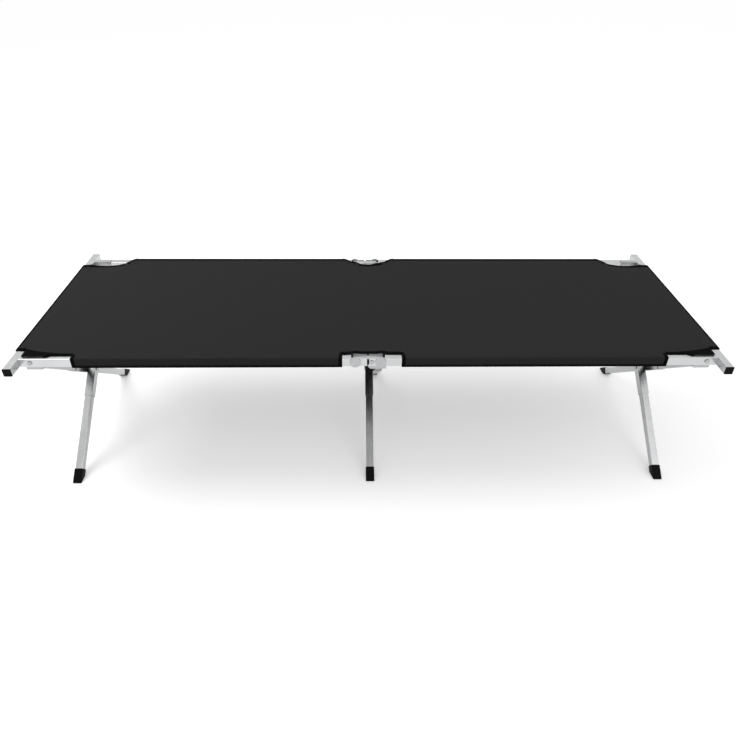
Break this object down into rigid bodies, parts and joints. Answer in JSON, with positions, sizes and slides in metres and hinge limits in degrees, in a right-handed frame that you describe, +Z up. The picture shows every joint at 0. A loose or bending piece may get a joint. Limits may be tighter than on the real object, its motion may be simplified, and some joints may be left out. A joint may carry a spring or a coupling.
{
  "type": "folding camping cot",
  "caption": "Low folding camping cot: charcoal fabric deck on square aluminium rails and end bars, with three pairs of crossed legs on black square feet.",
  "frame": {"origin": "middle of the cot at floor level, under the centre of the deck", "axes": "+X along the cot's length, +Y from the front long side to the back long side, +Z up"},
  "size_m": [1.905, 0.696, 0.46],
  "materials": {
    "aluminium": "satin",
    "zinc_steel": "satin",
    "black_plastic": "matte",
    "charcoal_fabric": "matte"
  },
  "bodies": {
    "front_right_half": {"front_right_rail": "aluminium", "front_right_hinge_pin": "zinc_steel", "front_right_fabric_sleeve": "charcoal_fabric", "centre_front_hanger": "zinc_steel", "right_front_hanger": "zinc_steel", "deck_right": "charcoal_fabric"},
    "front_left_half": {"front_left_rail": "aluminium", "front_left_hinge_pin": "zinc_steel", "front_left_fabric_sleeve": "charcoal_fabric", "left_front_hanger": "zinc_steel", "deck_left": "charcoal_fabric"},
    "back_right_half": {"back_right_rail": "aluminium", "back_right_hinge_pin": "zinc_steel", "back_right_fabric_sleeve": "charcoal_fabric", "centre_back_hanger": "zinc_steel", "right_back_hanger": "zinc_steel"},
    "back_left_half": {"back_left_rail": "aluminium", "back_left_hinge_pin": "zinc_steel", "back_left_fabric_sleeve": "charcoal_fabric", "left_back_hanger": "zinc_steel"},
    "front_joint": {"front_link": "zinc_steel"},
    "back_joint": {"back_link": "zinc_steel"},
    "left_front_bracket": {"left_front_swivel": "zinc_steel"},
    "left_back_bracket": {"left_back_swivel": "zinc_steel"},
    "left_front_strut": {"left_front_leg": "aluminium", "left_front_leg_sleeve": "aluminium", "left_front_leg_foot": "black_plastic", "left_crossing_pin": "zinc_steel"},
    "left_back_strut": {"left_back_leg": "aluminium", "left_back_leg_sleeve": "aluminium", "left_back_leg_foot": "black_plastic"},
    "centre_front_bracket": {"centre_front_swivel": "zinc_steel"},
    "centre_back_bracket": {"centre_back_swivel": "zinc_steel"},
    "centre_front_strut": {"centre_front_leg": "aluminium", "centre_front_leg_sleeve": "aluminium", "centre_front_leg_foot": "black_plastic", "centre_crossing_pin": "zinc_steel"},
    "centre_back_strut": {"centre_back_leg": "aluminium", "centre_back_leg_sleeve": "aluminium", "centre_back_leg_foot": "black_plastic"},
    "right_front_bracket": {"right_front_swivel": "zinc_steel"},
    "right_back_bracket": {"right_back_swivel": "zinc_steel"},
    "right_front_strut": {"right_front_leg": "aluminium", "right_front_leg_sleeve": "aluminium", "right_front_leg_foot": "black_plastic", "right_crossing_pin": "zinc_steel"},
    "right_back_strut": {"right_back_leg": "aluminium", "right_back_leg_sleeve": "aluminium", "right_back_leg_foot": "black_plastic"},
    "left_bar": {"left_end_bar": "aluminium", "left_front_bar_cap": "black_plastic", "left_back_bar_cap": "black_plastic", "left_end_fabric_sleeve": "charcoal_fabric"},
    "right_bar": {"right_end_bar": "aluminium", "right_front_bar_cap": "black_plastic", "right_back_bar_cap": "black_plastic", "right_end_fabric_sleeve": "charcoal_fabric"}
  },
  "joints": [
    {"name": "front_link_fold", "type": "hinge", "parent": "front_right_half", "child": "front_joint", "pos_m": [0.0235, -0.29, 0.445], "axis": [0, 1, 0], "range_deg": [0, 86]},
    {"name": "rail_fold", "type": "hinge", "parent": "front_joint", "child": "front_left_half", "pos_m": [-0.0445, -0.29, 0.445], "axis": [0, 1, 0], "range_deg": [0, 86]},
    {"name": "back_link_fold", "type": "hinge", "parent": "back_right_half", "child": "back_joint", "pos_m": [0.0235, 0.29, 0.445], "axis": [0, 1, 0], "range_deg": [0, 86]},
    {"name": "back_rail_fold", "type": "hinge", "parent": "back_joint", "child": "back_left_half", "pos_m": [-0.0445, 0.29, 0.445], "axis": [0, 1, 0], "range_deg": [0, 86]},
    {"name": "centre_leg_swing", "type": "hinge", "parent": "front_right_half", "child": "centre_front_bracket", "pos_m": [0, -0.2737, 0.416], "axis": [0, -1, 0], "range_deg": [0, 65]},
    {"name": "centre_back_swing", "type": "hinge", "parent": "centre_back_bracket", "child": "back_right_half", "pos_m": [0, 0.2737, 0.416], "axis": [0, 1, 0], "range_deg": [0, 65]},
    {"name": "right_leg_swing", "type": "hinge", "parent": "front_right_half", "child": "right_front_bracket", "pos_m": [0.89, -0.2737, 0.416], "axis": [0, 1, 0], "range_deg": [0, 90]},
    {"name": "left_leg_swing", "type": "hinge", "parent": "front_left_half", "child": "left_front_bracket", "pos_m": [-0.89, -0.2737, 0.416], "axis": [0, -1, 0], "range_deg": [0, 90]},
    {"name": "scissor", "type": "hinge", "parent": "centre_front_bracket", "child": "centre_front_strut", "pos_m": [0.026, -0.2609, 0.416], "axis": [-1, 0, 0], "range_deg": [0, 48], "deforming": ["deck_left", "deck_right", "left_end_fabric_sleeve", "right_end_fabric_sleeve"]},
    {"name": "centre_crossing", "type": "hinge", "parent": "centre_front_strut", "child": "centre_back_strut", "pos_m": [0, 0, 0.21663], "axis": [1, 0, 0], "range_deg": [0, 96]},
    {"name": "centre_back_pivot", "type": "hinge", "parent": "centre_back_strut", "child": "centre_back_bracket", "pos_m": [0, 0.2609, 0.416], "axis": [-1, 0, 0], "range_deg": [0, 48]},
    {"name": "left_front_pivot", "type": "hinge", "parent": "left_front_bracket", "child": "left_front_strut", "pos_m": [-0.916, -0.2609, 0.416], "axis": [-1, 0, 0], "range_deg": [0, 48]},
    {"name": "left_crossing", "type": "hinge", "parent": "left_front_strut", "child": "left_back_strut", "pos_m": [-0.89, 0, 0.21663], "axis": [1, 0, 0], "range_deg": [0, 96]},
    {"name": "left_back_pivot", "type": "hinge", "parent": "left_back_strut", "child": "left_back_bracket", "pos_m": [-0.89, 0.2609, 0.416], "axis": [-1, 0, 0], "range_deg": [0, 48]},
    {"name": "right_front_pivot", "type": "hinge", "parent": "right_front_bracket", "child": "right_front_strut", "pos_m": [0.916, -0.2609, 0.416], "axis": [-1, 0, 0], "range_deg": [0, 48]},
    {"name": "right_crossing", "type": "hinge", "parent": "right_front_strut", "child": "right_back_strut", "pos_m": [0.89, 0, 0.21663], "axis": [1, 0, 0], "range_deg": [0, 96]},
    {"name": "right_back_pivot", "type": "hinge", "parent": "right_back_strut", "child": "right_back_bracket", "pos_m": [0.89, 0.2609, 0.416], "axis": [-1, 0, 0], "range_deg": [0, 48]},
    {"name": "left_end_bar_pull", "type": "slide", "parent": "front_left_half", "child": "left_bar", "axis": [-1, 0, 0], "range_m": [0, 0.012]},
    {"name": "right_end_bar_pull", "type": "slide", "parent": "front_right_half", "child": "right_bar", "axis": [1, 0, 0], "range_m": [0, 0.012]}
  ],
  "couplings": [
    {"joint": "front_link_fold", "follows": "rail_fold", "ratio": 1},
    {"joint": "back_link_fold", "follows": "rail_fold", "ratio": 1},
    {"joint": "back_rail_fold", "follows": "rail_fold", "ratio": 1},
    {"joint": "centre_back_swing", "follows": "centre_leg_swing", "ratio": 1},
    {"joint": "centre_crossing", "follows": "scissor", "ratio": 2},
    {"joint": "centre_back_pivot", "follows": "scissor", "ratio": 1},
    {"joint": "left_front_pivot", "follows": "scissor", "ratio": 1},
    {"joint": "left_crossing", "follows": "scissor", "ratio": 2},
    {"joint": "left_back_pivot", "follows": "scissor", "ratio": 1},
    {"joint": "right_front_pivot", "follows": "scissor", "ratio": 1},
    {"joint": "right_crossing", "follows": "scissor", "ratio": 2},
    {"joint": "right_back_pivot", "follows": "scissor", "ratio": 1}
  ]
}
